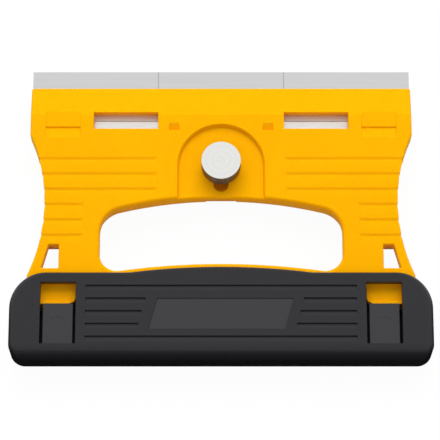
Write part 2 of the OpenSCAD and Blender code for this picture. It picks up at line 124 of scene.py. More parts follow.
def select_verts(piece, wanted):
    """Selects the vertices whose place passes a test."""
    bpy.ops.mesh.select_mode(type="VERT")
    bpy.ops.mesh.select_all(action="DESELECT")
    mesh = bmesh.from_edit_mesh(piece.data)
    for vert in mesh.verts:
        vert.select_set(wanted(vert.co))
    bmesh.update_edit_mesh(piece.data)


def select_faces(piece, wanted):
    """Selects the faces whose middle and normal pass a test."""
    bpy.ops.mesh.select_mode(type="FACE")
    bpy.ops.mesh.select_all(action="DESELECT")
    mesh = bmesh.from_edit_mesh(piece.data)
    for face in mesh.faces:
        face.select_set(wanted(face.calc_center_median(), face.normal))
    bmesh.update_edit_mesh(piece.data)


def copy_of_node(node, name):
    """A new piece with a merged copy of a CAD node's mesh."""
    mesh = frame["nodes"][node].data.copy()
    mesh.materials.clear()
    piece = bpy.data.objects.new(name, mesh)
    bpy.context.scene.collection.objects.link(piece)
    edit(piece)
    bpy.ops.mesh.select_all(action="SELECT")
    bpy.ops.mesh.customdata_custom_splitnormals_clear()
    bpy.ops.mesh.remove_doubles(threshold=MERGE)
    leave_edit()
    return piece


def join_flats(piece, cuts=()):
    """Joins the flat faces of a piece. Cuts are planes whose seams stay, so that the faces beside a
    rounded edge have plain outlines."""
    edit(piece)
    bpy.ops.mesh.select_all(action="SELECT")
    bpy.ops.mesh.remove_doubles(threshold=CUT_MERGE)
    for place, normal in cuts:
        bpy.ops.mesh.select_all(action="SELECT")
        bpy.ops.mesh.bisect(plane_co=place, plane_no=normal)
        bpy.ops.mesh.mark_seam()
    bpy.ops.mesh.select_all(action="SELECT")
    bpy.ops.mesh.dissolve_limited(angle_limit=FLAT_ANGLE, delimit={"SEAM"})
    leave_edit()


def apply_modifier(piece, name, kind, **values):
    """Adds a modifier with its values and applies it."""
    pick(piece)
    modifier = piece.modifiers.new(name, kind)
    for key, value in values.items():
        setattr(modifier, key, value)
    bpy.ops.object.modifier_apply(modifier=modifier.name)


def bevel(piece, radius_of, segments):
    """Bevels the edges of a piece; radius_of gives an edge's radius, with none for a sharp one."""
    mesh = bmesh.new()
    mesh.from_mesh(piece.data)
    radii = [radius_of(edge) for edge in mesh.edges]
    mesh.free()
    widest = max(radii)
    weights = piece.data.attributes.new("bevel_weight_edge", "FLOAT", "EDGE")
    for weight, radius in zip(weights.data, radii):
        weight.value = radius / widest
    apply_modifier(piece, "round edges", "BEVEL", width=widest, segments=segments, limit_method="WEIGHT",
                   use_clamp_overlap=False)
    piece.data.attributes.remove(piece.data.attributes["bevel_weight_edge"])


def round_edges(piece, radius_at):
    """Rounds edges; radius_at gives the radius for an edge's middle and its two face normals."""
    def radius_of(edge):
        middle = (edge.verts[0].co + edge.verts[1].co) / 2
        one, other = (face.normal for face in edge.link_faces)
        return max(radius_at(middle, one, other), radius_at(middle, other, one))

    bevel(piece, radius_of, ROUND_SEGMENTS)


def break_edges(piece, radius, wanted=lambda edge: True):
    """Breaks the outer edges that are still sharp, where their faces have room for it and a test passes."""
    spare = 1.5

    def radius_of(edge):
        sharp = edge.is_convex and SHARP_FROM < edge.calc_face_angle() < SHARP_TO
        needed = spare * radius * edge.calc_length()
        room = all(face.calc_area() > needed for face in edge.link_faces)
        return radius if sharp and room and wanted(edge) else 0

    bevel(piece, radius_of, BREAK_SEGMENTS)


def smooth(piece):
    """Shades a piece smooth over its rounded and broken edges."""
    pick(piece)
    bpy.ops.object.shade_smooth_by_angle(angle=SMOOTH_ANGLE)
    apply_modifier(piece, "flat faces stay flat", "WEIGHTED_NORMAL", keep_sharp=True)


def outline_of_node(node, name, wanted):
    """A new object with only those edges of a CAD node whose middle and two face normals pass a test."""
    piece = copy_of_node(node, name)
    edit(piece)
    mesh = bmesh.from_edit_mesh(piece.data)
    for edge in mesh.edges:
        middle = (edge.verts[0].co + edge.verts[1].co) / 2
        one, other = (face.normal for face in edge.link_faces)
        if not wanted(middle, one, other) and not wanted(middle, other, one):
            edge.select_set(True)
    bmesh.update_edit_mesh(piece.data)
    bpy.ops.mesh.delete(type="EDGE_FACE")
    bpy.ops.mesh.select_all(action="SELECT")
    bpy.ops.mesh.delete_loose(use_verts=True, use_edges=False, use_faces=False)
    leave_edit()
    return piece


def new_block(low, high):
    """A new block between two corners."""
    bpy.ops.object.select_all(action="DESELECT")
    bpy.ops.mesh.primitive_cube_add(size=1, location=(low + high) / 2, scale=high - low)
    bpy.ops.object.transform_apply()
    return bpy.context.object


def cut(piece, cutter, operation):
    """Takes a cutter off a piece, or leaves only what lies inside it, and removes the cutter."""
    apply_modifier(piece, "cut", "BOOLEAN", operation=operation, object=cutter, solver="EXACT")
    bpy.data.objects.remove(cutter, do_unlink=True)


def seat(piece, body, slot, material, *nodes):
    """Gives a piece its finish and its body, and hides the CAD nodes that it stands for."""
    piece.data.materials.append(bpy.data.materials[material])
    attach(piece, body)
    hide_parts(*nodes)


def metal_piece(node, body, slot, material):
    """A small metal piece: a copy of its CAD node with the edges broken."""
    piece = copy_of_node(node, node + "_finish")
    join_flats(piece)
    break_edges(piece, settings().edges.metal)
    smooth(piece)
    seat(piece, body, slot, material, node)


def paint(piece, material, wanted):
    """Gives a second finish to the faces whose middle and normal pass a test."""
    piece.data.materials.append(bpy.data.materials[material])
    edit(piece)
    select_faces(piece, wanted)
    piece.active_material_index = 1
    bpy.ops.object.material_slot_assign()
    leave_edit()


# Materials

def linear(hex_colour):
    """Linear colour with full alpha from an sRGB hex string."""
    values = [int(hex_colour[i:i + 2], 16) / 255 for i in (1, 3, 5)]
    return [v / 12.92 if v <= 0.04045 else ((v + 0.055) / 1.055) ** 2.4 for v in values] + [1.0]


def darker(colour, share):
    """The colour with a share of its light left."""
    return [value * share for value in colour[:3]] + [1.0]


def add(tree, kind, inputs, **settings):
    """Adds a node with its settings; each input takes a value or a link from a socket."""
    node = tree.nodes.new(kind)
    for name, value in settings.items():
        setattr(node, name, value)
    for key, value in inputs.items():
        if isinstance(value, bpy.types.NodeSocket):
            tree.links.new(value, node.inputs[key])
        else:
            node.inputs[key].default_value = value
    return node


def per_metre(size_mm):
    """Texture scale that gives a pattern that size."""
    return 1 / (size_mm * MM)


def new_material(name, **constants):
    """A material with its constant shader values set, its tree, shader and object coordinates."""
    material = bpy.data.materials.new(name)
    material.use_nodes = True
    tree = material.node_tree
    shader = tree.nodes["Principled BSDF"]
    for socket, value in constants.items():
        shader.inputs[socket.replace("_", " ")].default_value = value
    place = add(tree, "ShaderNodeTexCoord", {}).outputs["Object"]
    return tree, shader, place


def surface(tree, shader, colour, drift, pattern, spread, rough, rough_spread, depth_mm):
    """Colour, roughness and relief that follow two noise patterns: drift for the colour, which
    spread darkens, and pattern for the roughness and for the relief."""
    tint = add(tree, "ShaderNodeMix", {0: drift, 6: colour, 7: darker(colour, 1 - spread)}, data_type="RGBA")
    gloss = add(tree, "ShaderNodeMapRange", {
        "Value": pattern, "From Min": 0.3, "From Max": 0.7,
        "To Min": rough - rough_spread, "To Max": rough + rough_spread})
    relief = add(tree, "ShaderNodeBump", {"Height": pattern, "Distance": depth_mm * MM})
    tree.links.new(tint.outputs[2], shader.inputs["Base Color"])
    tree.links.new(gloss.outputs["Result"], shader.inputs["Roughness"])
    tree.links.new(relief.outputs["Normal"], shader.inputs["Normal"])


def moulded_plastic(name, colour, pit_mm, pit_depth_mm, rough, specular, scatter):
    """Injection-moulded plastic: a faint drift of colour from the melt's flow, and a satin gloss
    broken by the fine pits of a spark-eroded mould. With scatter, light goes a little way in, the
    red furthest, and warms the small shadows."""
    tree, shader, place = new_material(
        name, IOR=1.5, Specular_IOR_Level=specular, Subsurface_Weight=scatter,
        Subsurface_Radius=(1.0, 0.3, 0.05), Subsurface_Scale=MM)
    flow_mm = 30
    flow = add(tree, "ShaderNodeTexNoise", {"Vector": place, "Scale": per_metre(flow_mm), "Detail": 2.0})
    pits = add(tree, "ShaderNodeTexNoise", {"Vector": place, "Scale": per_metre(pit_mm), "Detail": 3.0})
    surface(tree, shader, colour, flow.outputs["Fac"], pits.outputs["Fac"],
            spread=0.08, rough=rough, rough_spread=0.06, depth_mm=pit_depth_mm)


def worked_metal(name, colour, long_mm, narrow_mm, rough):
    """Bare metal with the streaks that its last working left: long along x, narrow across."""
    tree, shader, place = new_material(name, Metallic=1.0)
    stretched = add(tree, "ShaderNodeMapping", {
        "Vector": place, "Scale": (per_metre(long_mm), per_metre(narrow_mm), per_metre(narrow_mm))})
    streaks = add(tree, "ShaderNodeTexNoise", {
        "Vector": stretched.outputs["Vector"], "Scale": 1.0, "Detail": 4.0}).outputs["Fac"]
    surface(tree, shader, colour, streaks, streaks,
            spread=0.15, rough=rough, rough_spread=0.06, depth_mm=0.001)


def turned_aluminium(name, colour, axis, ring_mm, rough):
    """Aluminium faced on a lathe: rings about the axis, so that light draws out into a bow tie."""
    tree, shader, place = new_material(name, Metallic=1.0, Anisotropic=0.7)
    centred = add(tree, "ShaderNodeMapping", {"Vector": place, "Location": (-axis.x, -axis.y, 0.0)})
    # The wave pattern goes through 20 radians in a length of one
    wave_scale = per_metre(ring_mm) * math.tau / 20
    rings = add(tree, "ShaderNodeTexWave", {
        "Vector": centred.outputs["Vector"], "Scale": wave_scale},
        wave_type="RINGS", rings_direction="Z").outputs["Fac"]
    surface(tree, shader, colour, rings, rings,
            spread=0.02, rough=rough, rough_spread=0.03, depth_mm=0.001)
    around = add(tree, "ShaderNodeVectorMath", {0: (0.0, 0.0, 1.0), 1: centred.outputs["Vector"]},
                 operation="CROSS_PRODUCT")
    turned = add(tree, "ShaderNodeVectorTransform", {"Vector": around.outputs["Vector"]},
                 vector_type="VECTOR", convert_from="OBJECT", convert_to="WORLD")
    tree.links.new(turned.outputs["Vector"], shader.inputs["Tangent"])


def background_rays(tree):
    """A socket that is 1 where a ray is seen as the background: straight, in gloss or through glass."""
    rays = add(tree, "ShaderNodeLightPath", {})
    mirrored = add(tree, "ShaderNodeMath", {
        0: rays.outputs["Is Glossy Ray"], 1: rays.outputs["Is Transmission Ray"]}, operation="MAXIMUM")
    seen = add(tree, "ShaderNodeMath", {
        0: rays.outputs["Is Camera Ray"], 1: mirrored.outputs["Value"]}, operation="MAXIMUM")
    return seen.outputs["Value"]


def white_floor(name, glow_share):
    """Studio card: white to the eye and in gloss, with a little of the object's shadow kept."""
    tree, shader, place = new_material(name, Roughness=1.0, Specular_IOR_Level=0.0)
    cloud_mm = 40
    # Just over white, because a share of the card's own light is mixed in
    glow_strength = 1.04
    clouds = add(tree, "ShaderNodeTexNoise", {"Vector": place, "Scale": per_metre(cloud_mm)}).outputs["Fac"]
    surface(tree, shader, linear("#C8C8C8"), clouds, clouds,
            spread=0.03, rough=0.9, rough_spread=0.05, depth_mm=0.01)
    share = add(tree, "ShaderNodeMath", {0: background_rays(tree), 1: glow_share}, operation="MULTIPLY")
    glow = add(tree, "ShaderNodeEmission", {"Color": (1.0, 1.0, 1.0, 1.0), "Strength": glow_strength})
    blend = add(tree, "ShaderNodeMixShader", {
        0: share.outputs["Value"], 1: shader.outputs["BSDF"], 2: glow.outputs["Emission"]})
    tree.links.new(blend.outputs["Shader"], tree.nodes["Material Output"].inputs["Surface"])


def black_cloth(name, colour):
    """Woven cloth that gives back hardly any light."""
    tree, shader, place = new_material(name, Specular_IOR_Level=0.0)
    weave_mm = 4
    weave = add(tree, "ShaderNodeTexNoise", {"Vector": place, "Scale": per_metre(weave_mm)}).outputs["Fac"]
    surface(tree, shader, colour, weave, weave,
            spread=0.3, rough=0.9, rough_spread=0.05, depth_mm=0.1)


# Settings that a user would change

def colour_setting(name, description, hex_colour):
    """A colour property with its default written in sRGB."""
    return bpy.props.FloatVectorProperty(
        name=name, description=description, default=linear(hex_colour), size=4, min=0, max=1,
        subtype="COLOR")


def length_setting(name, description, size_mm):
    """A length property with its default in millimetres."""
    return bpy.props.FloatProperty(
        name=name, description=description, default=size_mm * MM, min=0, precision=5, unit="LENGTH",
        subtype="DISTANCE")


class ScraperColours(bpy.types.PropertyGroup):
    """Colours of the pieces."""

    shell: colour_setting("Shells", "Yellow of the two frame shells", "#FFB400")
    cover: colour_setting("Cover", "Black of the safety cover", "#1F1F22")
    # Lighter than the cover's black: painted light on the panel and tongues
    panel: colour_setting("Smooth black", "Panel and tongues of the cover", "#26262B")
    steel: colour_setting("Blade steel", "Ground steel of the blade", "#DADADB")
    scored: colour_setting("Scored lines", "Steel in the blade's scored lines", "#BCBCBD")
    plating: colour_setting("Plating", "Zinc plating of carrier, nut, washer, stud and screws", "#EFEDE8")
    spring: colour_setting("Spring steel", "Blackened steel of the retaining ring", "#3A3A3C")
    aluminium: colour_setting("Knob", "Aluminium of the knob's face", "#E8E8E4")
    # Darker than the knob's face: painted shade for its knurled side
    knurl: colour_setting("Knurl", "Aluminium of the knob's knurled side", "#8A8680")


class ScraperEdges(bpy.types.PropertyGroup):
    """Radii of the rounded edges."""

    opening: length_setting("Hand opening", "Front edge of the hand opening", 1.3)
    crown: length_setting("Recess end", "Edge of the hand opening below the knob", 1.0)
    side: length_setting("Frame sides", "Front and back edges of the frame's sides", 0.9)
    hole: length_setting("Leg holes", "Edges and corners of the leg holes", 0.5)
    jaw: length_setting("Jaw corners", "Corners of the jaw, seen from the front", 0.9)
    recess: length_setting("Knob recess", "Edge of the recess around the knob", 0.3)
    cover_side: length_setting("Cover sides", "Front edges of the cover's sides and corners", 3.5)
    cover_low: length_setting("Cover bottom", "Front edge of the cover's bottom", 5.5)
    cover_mouth: length_setting("Cover mouth", "Front edge of the cover's mouth", 1.3)
    cover_back: length_setting("Cover back", "Back edges of the cover", 1.3)
    moulded: length_setting("Moulded break", "All other edges of the mouldings", 0.16)
    metal: length_setting("Metal break", "Edges of the small metal pieces", 0.08)


class ScraperKnob(bpy.types.PropertyGroup):
    """Shape of the knob."""

    ridges: bpy.props.IntProperty(
        name="Ridges", description="Ridges of the straight knurl around the knob", default=60, min=12)
    ridge_depth: length_setting("Ridge depth", "Depth of the knurl", 0.35)
    band: length_setting("Plain band", "Plain band above and below the knurl", 0.7)
    chamfer: length_setting("Chamfer", "Width of the flat chamfer of the knob's upper edge", 0.4)
    pip_radius: length_setting("Centre mark", "Radius of the mark that the lathe leaves in the middle", 0.5)
    pip_depth: length_setting("Centre depth", "Depth of the mark in the middle", 0.2)


class ScraperBlade(bpy.types.PropertyGroup):
    """Marks on the blade."""

    sections: bpy.props.IntProperty(
        name="Sections", description="Sections that the scored lines divide the blade into", default=3, min=2)
    line_width: length_setting("Line width", "Width of a scored line", 0.3)
    line_depth: length_setting("Line depth", "Depth of a scored line", 0.15)


class ScraperStage(bpy.types.PropertyGroup):
    """Camera and light of the photo stage."""

    tilt: bpy.props.FloatProperty(
        name="Camera tilt", description="Camera off the vertical, towards the cover",
        default=math.radians(18), subtype="ANGLE")
    distance: bpy.props.FloatProperty(
        name="Camera distance", description="Camera to the point that it aims at", default=0.88,
        unit="LENGTH", subtype="DISTANCE")
    lens: bpy.props.FloatProperty(
        name="Lens", description="Focal length for a 36 mm wide frame, in millimetres", default=196.74)
    aim: bpy.props.FloatVectorProperty(
        name="Aim", description="Point that the camera aims at", size=3,
        default=(-0.0004, -0.0022, 0.0075), unit="LENGTH", subtype="XYZ")
    softbox_height: bpy.props.FloatProperty(
        name="Softbox height", description="Softbox above the horizon, on the blade's side",
        default=math.radians(45), subtype="ANGLE")
    softbox_power: bpy.props.FloatProperty(
        name="Softbox power", description="Power of the softbox, in watts", default=8.6, min=0)
    fill: bpy.props.FloatProperty(
        name="Fill", description="Strength of the even light from the room", default=0.64, min=0)


class ScraperSettings(bpy.types.PropertyGroup):
    """All settings of the scraper."""

    colours: bpy.props.PointerProperty(type=ScraperColours, name="Colours", description="Colours")
    edges: bpy.props.PointerProperty(type=ScraperEdges, name="Edges", description="Edge radii")
    knob: bpy.props.PointerProperty(type=ScraperKnob, name="Knob", description="Shape of the knob")
    blade: bpy.props.PointerProperty(type=ScraperBlade, name="Blade", description="Marks on the blade")
    stage: bpy.props.PointerProperty(type=ScraperStage, name="Stage", description="Camera and light")


def settings():
    """The scene's settings."""
    return bpy.context.scene.scraper


# Pieces

def opening_cutter(face_z, radius, x_low, x_high, y_low):
    """What rounding takes off the front edge of the hand opening at height face_z, between two x and
    above y_low."""
    grip_low, grip_high = openings["hand_opening"]
    centre = (grip_low + grip_high) / 2
    centre.z = face_z
    parting = shell_low.z
    ring_t = 10 * MM
    hair = 0.003 * MM
    # The wall of the opening lies within this of its centre
    reach = Vector((grip_high.x + 7 * MM, 16 * MM))
    a_hair_inward = (0.9995, 0.9985, 1)
    far_outward = (2.5, 7, 1)

    def on_wall(middle, one, other):
        inside = abs(middle.x) < reach.x and abs(middle.y - centre.y) < reach.y
        towards = (centre - middle).to_2d().dot(other.to_2d()) > 0
        at_parting = abs(middle.z - parting) < hair
        return inside and at_parting and abs(one.z) > LOOKS and abs(other.z) < STANDS and towards

    # A ring around the opening, a hair inside its wall and above its face, with the edge rounded
    ring = outline_of_node("front_shell", "opening_ring", on_wall)
    edit(ring)
    bpy.ops.mesh.select_all(action="SELECT")
    bpy.ops.transform.translate(value=(0, 0, face_z + hair - parting))
    bpy.ops.transform.resize(value=a_hair_inward, center_override=centre)
    bpy.ops.mesh.extrude_region_move()
    bpy.ops.transform.resize(value=far_outward, center_override=centre)
    bpy.ops.mesh.select_all(action="SELECT")
    bpy.ops.mesh.extrude_region_move(TRANSFORM_OT_translate={"value": (0, 0, -ring_t)})
    bpy.ops.mesh.select_all(action="SELECT")
    bpy.ops.mesh.normals_make_consistent(inside=False)
    leave_edit()

    def radius_at(middle, one, other):
        towards = (centre - middle).to_2d().dot(other.to_2d()) > 0
        return radius if one.z > LOOKS and abs(other.z) < STANDS and towards else 0

    round_edges(ring, radius_at)
    # What the ring leaves of a block is the opening with its flared end
    block = new_block(
        Vector((x_low, y_low, face_z - 0.9 * ring_t)),
        Vector((x_high, centre.y + 2 * reach.y, face_z + hair / 2)))
    cut(block, ring, "DIFFERENCE")
    return block


def shell_finish(node, up, roundings):
    """A shell with its outer edges rounded and those of the hand opening cut round; up is 1 for the
    front shell, whose face is towards +z, and -1 for the rear."""
    edges = settings().edges
    hole_low, hole_high = openings["leg_hole_right"]
    # Seams across the face: in the windows and at the upper screws
    windows_y = openings["blade_window_right"][0].y + 1.5 * MM
    screws_seam = screws_high.y - 3.8 * MM
    # The frame's sides lie beyond side_x, the side steps of the ribs between the two heights
    side_x = shell_high.x - 7 * MM
    ribs_low = -13 * MM
    ribs_high = 21 * MM
    recess_x = 17 * MM
    handle_y = 9 * MM
    screws_x = screws_high.x - 5 * MM
    screws_reach = 7 * MM
    parting = shell_low.z

    def near_hole(place):
        # The record's box lies within the hole, so the test reaches past it
        near_x = hole_low.x - MM < abs(place.x) < hole_high.x + 2.5 * MM
        near_y = hole_low.y - 1.2 * MM < place.y < hole_high.y + 5.2 * MM
        return near_x and near_y

    def radius_at(middle, one, other):
        outward = other.x * middle.x > 0
        if abs(other.z) > STANDS:
            at_recess = STANDS < other.z * up < 0.5 and abs(middle.x) < recess_x
            return edges.recess if at_recess and middle.z > shell_high.z - TOUCH else 0
        if one.y > LOOKS and abs(other.x) > LOOKS and abs(middle.x) > shell_high.x - 0.1 * MM:
            return edges.jaw
        if up > 0 and near_hole(middle) and abs(middle.x) < side_x + 2 * MM and not (
                outward and abs(middle.x) > side_x):
            if abs(one.z) < STANDS:
                return edges.hole if abs(one.dot(other)) < 0.5 else 0
            return edges.hole if one.z * up > LOOKS else 0
        if abs(middle.x) > side_x and outward and one.z * up > 0.7:
            return 0 if ribs_low < middle.y < ribs_high else edges.side
        return 0

    def clear(edge):
        """Whether an edge is clear of the ribs' ends, the leg holes, the recess, the parting plane and,
        on the rear shell, of the screws and the handle."""
        middle = (edge.verts[0].co + edge.verts[1].co) / 2
        at_ribs = abs(middle.x) > side_x and ribs_low < middle.y < ribs_high + 2 * MM
        at_handle = middle.y < handle_y
        at_recess = abs(middle.x) < recess_x and at_handle
        inside = abs(middle.z - parting) < TOUCH and abs(middle.x) < shell_high.x - MM
        at_screws = abs(abs(middle.x) - screws_x) < screws_reach
        if up < 0 and (at_screws or at_handle):
            return False
        return not (at_ribs or near_hole(middle) or at_recess or inside)

    across = Vector((1, 0, 0))
    along = Vector((0, 1, 0))
    piece = copy_of_node(node, node + "_finish")
    for face_z, radius, x_low, x_high, y_low in roundings:
        cut(piece, opening_cutter(face_z, radius, x_low, x_high, y_low), "DIFFERENCE")
    join_flats(piece, [
        (Vector((0, 0, 0)), across), (Vector((0, windows_y, 0)), along),
        (Vector((0, hole_high.y, 0)), along), (Vector((0, screws_seam, 0)), along)])
    round_edges(piece, radius_at)
    break_edges(piece, edges.moulded, clear)
    smooth(piece)
    seat(piece, "frame", "yellow_plastic", "moulded yellow ABS", node)


class SCRAPER_OT_front_shell(bpy.types.Operator):
    """Front half of the frame, with rounded edges, in moulded yellow ABS"""

    bl_idname = "scraper.front_shell"
    bl_label = "Front shell"

    def execute(self, context):
        edges = settings().edges
        beyond = shell_high.x
        # The recess below the knob: its floor, its half width, and a y short of where it ends
        washer_play = 0.05 * MM
        recess_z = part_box("knob_washer")[0].z - washer_play
        recess_x = 15.3 * MM
        recess_y = openings["hand_opening"][0].y + 9 * MM
        shell_finish("front_shell", 1, [
            (shell_high.z, edges.opening, -beyond, beyond, shell_low.y),
            (recess_z, edges.crown, -recess_x, recess_x, recess_y)])
        return {"FINISHED"}


class SCRAPER_OT_rear_shell(bpy.types.Operator):
    """Rear half of the frame, with rounded edges, in moulded yellow ABS"""

    bl_idname = "scraper.rear_shell"
    bl_label = "Rear shell"

    def execute(self, context):
        shell_finish("rear_shell", -1, [])
        return {"FINISHED"}


class SCRAPER_OT_cover(bpy.types.Operator):
    """Safety cover with rounded outer edges, in black polypropylene, its panel and tongues smoother"""

    bl_idname = "scraper.cover"
    bl_label = "Safety cover"

    def execute(self, context):
        edges = settings().edges
        hair = 0.02 * MM
        # Edges of the back beyond these are its outline; those within belong to its grooves
        side = cover_high.x - 11.1 * MM
        bottom = cover_low.y + 0.5 * MM
        mouth = cover_high.y - 2.5 * MM
        # The panel and the tongues lie between these heights
        smooth_low = cover_high.z - 1.4 * MM
        smooth_high = cover_high.z - 0.3 * MM

        def on_outline(middle, one, other):
            at_edge = abs(middle.x) > side or middle.y < bottom or middle.y > mouth
            at_back = abs(middle.z - cover_low.z) < TOUCH
            return at_edge and at_back and one.z < -LOOKS and abs(other.z) < STANDS

        def radius_at(middle, one, other):
            if abs(one.z) < LOOKS or abs(other.z) > STANDS:
                return 0
            if one.z < 0:
                return edges.cover_back
            if other.y < 0:
                return edges.cover_side
            return edges.cover_side * other.x ** 2 + edges.cover_mouth * other.y ** 2

        def low_radius_at(middle, one, other):
            return edges.cover_low if one.z > LOOKS and other.y < -LOOKS else 0

        # A plain form with the cover's outline and round edges, a hair larger than the cover
        a_hair_outward = (1.0003, 1.001, 1.001)
        form = outline_of_node("cover", "cover_form", on_outline)
        edit(form)
        bpy.ops.mesh.select_all(action="SELECT")
        bpy.ops.mesh.edge_face_add()
        bpy.ops.mesh.extrude_region_move(
            TRANSFORM_OT_translate={"value": (0, 0, cover_high.z - cover_low.z)})
        bpy.ops.mesh.select_all(action="SELECT")
        bpy.ops.mesh.normals_make_consistent(inside=False)
        bpy.ops.transform.resize(value=a_hair_outward, center_override=cover_middle)
        leave_edit()
        round_edges(form, radius_at)
        # A block that reaches past the cover but at its bottom and front, where it has the rounder edge
        beyond = 20 * MM
        block = new_block(
            cover_low - Vector((beyond, hair, beyond)),
            cover_high + Vector((beyond, beyond, hair)))
        round_edges(block, low_radius_at)
        piece = copy_of_node("cover", "cover_finish")
        join_flats(piece)
        break_edges(piece, edges.moulded)
        cut(piece, form, "INTERSECT")
        cut(piece, block, "INTERSECT")
        smooth(piece)
        seat(piece, "cover", "black_plastic", "moulded black polypropylene", "cover")
        # The panel and tongues get a lighter black: painted light
        paint(piece, "polished black polypropylene with painted light", lambda middle, normal: (
            normal.z > LOOKS and smooth_low < middle.z < smooth_high))
        return {"FINISHED"}


class SCRAPER_OT_blade(bpy.types.Operator):
    """Blade of ground steel with scored lines across it"""

    bl_idname = "scraper.blade"
    bl_label = "Blade"

    def execute(self, context):
        marks = settings().blade
        sharp_break = 0.02 * MM
        piece = copy_of_node("blade", "blade_finish")
        join_flats(piece)
        step = (blade_high.x - blade_low.x) / marks.sections
        lines = [blade_low.x + step * i for i in range(1, marks.sections)]
        edit(piece)
        for line in lines:
            for side in (-0.5, 0.5):
                bpy.ops.mesh.select_all(action="SELECT")
                bpy.ops.mesh.bisect(plane_co=(line + side * marks.line_width, 0, 0), plane_no=(1, 0, 0))
        select_faces(piece, lambda middle, normal: normal.z > LOOKS and any(
            abs(middle.x - line) < marks.line_width for line in lines))
        bpy.ops.mesh.extrude_region_move(TRANSFORM_OT_translate={"value": (0, 0, -marks.line_depth)})
        leave_edit()
        break_edges(piece, sharp_break)
        smooth(piece)
        seat(piece, "blade", "blade_steel", "ground blade steel", "blade")
        paint(piece, "scored blade steel", lambda middle, normal: (
            blade_low.z < middle.z < blade_high.z - 0.5 * marks.line_depth and normal.z > LOOKS))
        return {"FINISHED"}


class SCRAPER_OT_carriage(bpy.types.Operator):
    """Carrier plate and clamp nut, in zinc-plated steel"""

    bl_idname = "scraper.carriage"
    bl_label = "Carriage"

    def execute(self, context):
        metal_piece("blade_carrier", "carriage", "plated_steel", "zinc-plated steel")
        metal_piece("clamp_nut", "carriage", "plated_steel", "zinc-plated steel")
        return {"FINISHED"}


class SCRAPER_OT_knob(bpy.types.Operator):
    """Turned knob with a straight knurl, a chamfered edge and a bore for its stud"""

    bl_idname = "scraper.knob"
    bl_label = "Knob"

    def execute(self, context):
        shape = settings().knob
        radius = (knob_high.x - knob_low.x) / 2
        height = knob_high.z - knob_low.z
        bore = (stud_high.x - stud_low.x) / 2
        step = math.pi / shape.ridges
        bpy.ops.object.select_all(action="DESELECT")
        bpy.ops.mesh.primitive_cylinder_add(
            vertices=2 * shape.ridges, radius=radius, depth=height, location=knob_middle)
        piece = context.object
        piece.name = "knob_finish"
        bpy.ops.object.transform_apply(location=True)

        def from_axis(place):
            return math.hypot(place.x - knob_middle.x, place.y - knob_middle.y)

        def in_groove(place):
            turn = math.atan2(place.y - knob_middle.y, place.x - knob_middle.x)
            inside = knob_low.z + 0.5 * shape.band < place.z < knob_high.z - shape.chamfer
            return inside and round(turn / step) % 2 == 1

        edit(piece)
        for level in (knob_low.z + shape.band, knob_high.z - shape.band - shape.chamfer):
            bpy.ops.mesh.select_all(action="SELECT")
            bpy.ops.mesh.bisect(plane_co=(0, 0, level), plane_no=(0, 0, 1))
        select_verts(piece, in_groove)
        inward = 1 - shape.ridge_depth / radius
        bpy.ops.transform.resize(value=(inward, inward, 1), center_override=knob_middle)
        select_faces(piece, lambda middle, normal: normal.z < -LOOKS)
        bpy.ops.mesh.inset(thickness=radius - bore, depth=0)
        bpy.ops.mesh.extrude_region_move(
            TRANSFORM_OT_translate={"value": (0, 0, stud_high.z - knob_low.z)})
        select_faces(piece, lambda middle, normal: normal.z > LOOKS and middle.z > knob_middle.z)
        bpy.ops.mesh.inset(thickness=shape.chamfer, depth=0)
        bpy.ops.mesh.inset(thickness=radius - shape.chamfer - shape.pip_radius, depth=-shape.pip_depth)
        select_verts(piece, lambda place: place.z > knob_high.z - TOUCH and (
            from_axis(place) > radius - 0.5 * shape.chamfer))
        bpy.ops.transform.translate(value=(0, 0, -0.5 * shape.chamfer))
        bpy.ops.mesh.select_all(action="SELECT")
        bpy.ops.mesh.normals_make_consistent(inside=False)
        leave_edit()
        break_edges(piece, settings().edges.metal)
        smooth(piece)
        seat(piece, "knob", "knob_aluminium", "turned aluminium", "knob")
        # The knurled side gets a darker finish: painted shade
        paint(piece, "knurled aluminium with painted shade", lambda middle, normal: (
            abs(normal.z) < 0.3 and from_axis(middle) > radius - 2 * shape.ridge_depth))
        return {"FINISHED"}


class SCRAPER_OT_stud(bpy.types.Operator):
    """Stud of the knob with the retaining ring on its end"""

    bl_idname = "scraper.stud"
    bl_label = "Clamp stud"

    def execute(self, context):
        metal_piece("clamp_stud", "knob", "plated_steel", "zinc-plated steel")
        metal_piece("stud_ring", "knob", "spring_steel", "blackened spring steel")
        return {"FINISHED"}


class SCRAPER_OT_washer(bpy.types.Operator):
    """Flat washer under the knob, in zinc-plated steel"""

    bl_idname = "scraper.washer"
    bl_label = "Knob washer"

    def execute(self, context):
        metal_piece("knob_washer", "washer", "plated_steel", "zinc-plated steel")
        return {"FINISHED"}


class SCRAPER_OT_shell_screws(bpy.types.Operator):
    """Screws that hold the shells together, in zinc-plated steel"""

    bl_idname = "scraper.shell_screws"
    bl_label = "Shell screws"

    def execute(self, context):
        metal_piece("shell_screws", "frame", "plated_steel", "zinc-plated steel")
        return {"FINISHED"}


